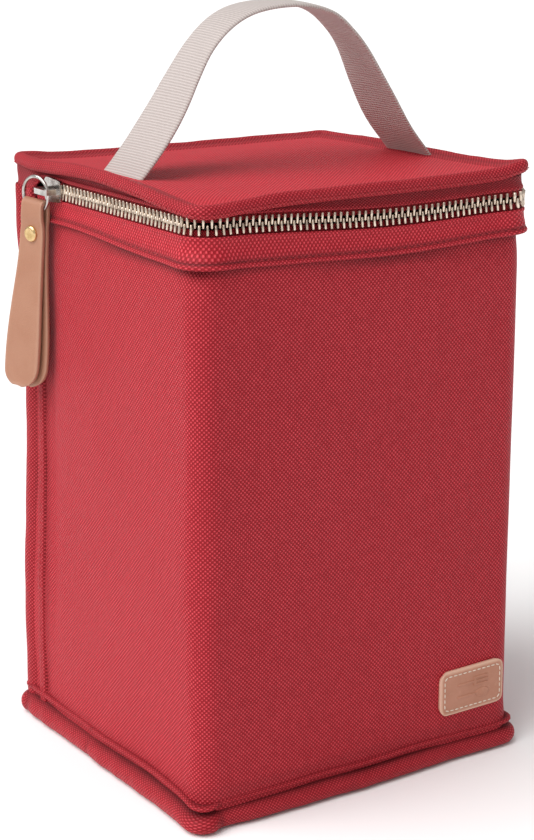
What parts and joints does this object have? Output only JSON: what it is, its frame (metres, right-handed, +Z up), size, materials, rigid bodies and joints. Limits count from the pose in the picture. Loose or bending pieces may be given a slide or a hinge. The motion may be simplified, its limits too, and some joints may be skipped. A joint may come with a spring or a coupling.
{
  "type": "soft insulated lunch box",
  "caption": "Tall soft insulated lunch box in red woven fabric, with a zipped lid hinged at the back, a webbing top handle and a folded leather zip pull.",
  "frame": {"origin": "middle of the base, on the surface that it stands on", "axes": "+Z up; the front, with the leather label, faces -Y; the zip slider is on the left side, -X, when the front is seen from outside"},
  "size_m": [0.1494, 0.13, 0.276],
  "materials": {
    "shell_fabric": "coarse woven polyester",
    "seam_fabric": "woven binding tape",
    "lining_binding": "woven binding tape",
    "zip_tape": "knitted zip tape",
    "zip_metal": "antique brass",
    "slider_metal": "nickel plated",
    "leather": "natural vegetable-tanned",
    "brass": "polished",
    "cream_thread": "waxed thread",
    "foam": "closed-cell foam",
    "lining_foil": "wipeable metallised film",
    "board": "plain",
    "webbing": "ribbed cotton webbing"
  },
  "bodies": {
    "bag_body": {"wrap_panel": "shell_fabric", "back_panel": "shell_fabric", "base_panel": "shell_fabric", "base_seam": "seam_fabric", "rear_seam_left": "seam_fabric", "rear_seam_right": "seam_fabric", "zip_band": "shell_fabric", "rim_binding": "lining_binding", "zip_tape_lower": "zip_tape", "zip_teeth_lower": "zip_metal", "zip_stop_lower": "zip_metal", "leather_label": "leather", "label_stitches": "cream_thread", "lining": "lining_foil", "foam_front": "foam", "foam_back": "foam", "foam_left": "foam", "foam_right": "foam", "base_foam": "foam", "base_board": "board"},
    "lid": {"lid_panel": "shell_fabric", "lid_seam": "seam_fabric", "lid_rear_strip": "shell_fabric", "lid_foam": "foam", "lid_lining": "lining_foil", "zip_tape_upper": "zip_tape", "zip_teeth_upper": "zip_metal", "zip_stop_upper": "zip_metal", "handle_end_left": "webbing", "handle_end_right": "webbing"},
    "handle": {"handle_webbing": "webbing"},
    "slider": {"zip_slider": "slider_metal"},
    "ring": {"pull_ring": "slider_metal"},
    "pull": {"leather_pull": "leather", "rivet_cap": "brass", "rivet_post": "brass"}
  },
  "joints": [
    {"name": "lid_hinge", "type": "hinge", "parent": "bag_body", "child": "lid", "pos_m": [0, 0.0653, 0.2112], "axis": [-1, 0, 0], "range_deg": [0, 180]},
    {"name": "handle_tilt", "type": "hinge", "parent": "lid", "child": "handle", "pos_m": [0, 0, 0.2324], "axis": [1, 0, 0], "range_deg": [-35, 35], "stiffness_Nm_per_rad": 0.02},
    {"name": "slider_travel", "type": "slide", "parent": "bag_body", "child": "slider", "axis": [0, -1, 0], "range_m": [0, 0.081], "deforming": ["zip_teeth_lower", "zip_teeth_upper"]},
    {"name": "ring_lift", "type": "hinge", "parent": "slider", "child": "ring", "pos_m": [-0.07396, 0.03765, 0.2096], "axis": [-0.2756, 0.9613, 0], "range_deg": [0, 30]},
    {"name": "pull_turn", "type": "hinge", "parent": "ring", "child": "pull", "pos_m": [-0.07396, 0.03765, 0.2096], "axis": [-0.9613, -0.2756, 0], "range_deg": [-25, 4]}
  ]
}
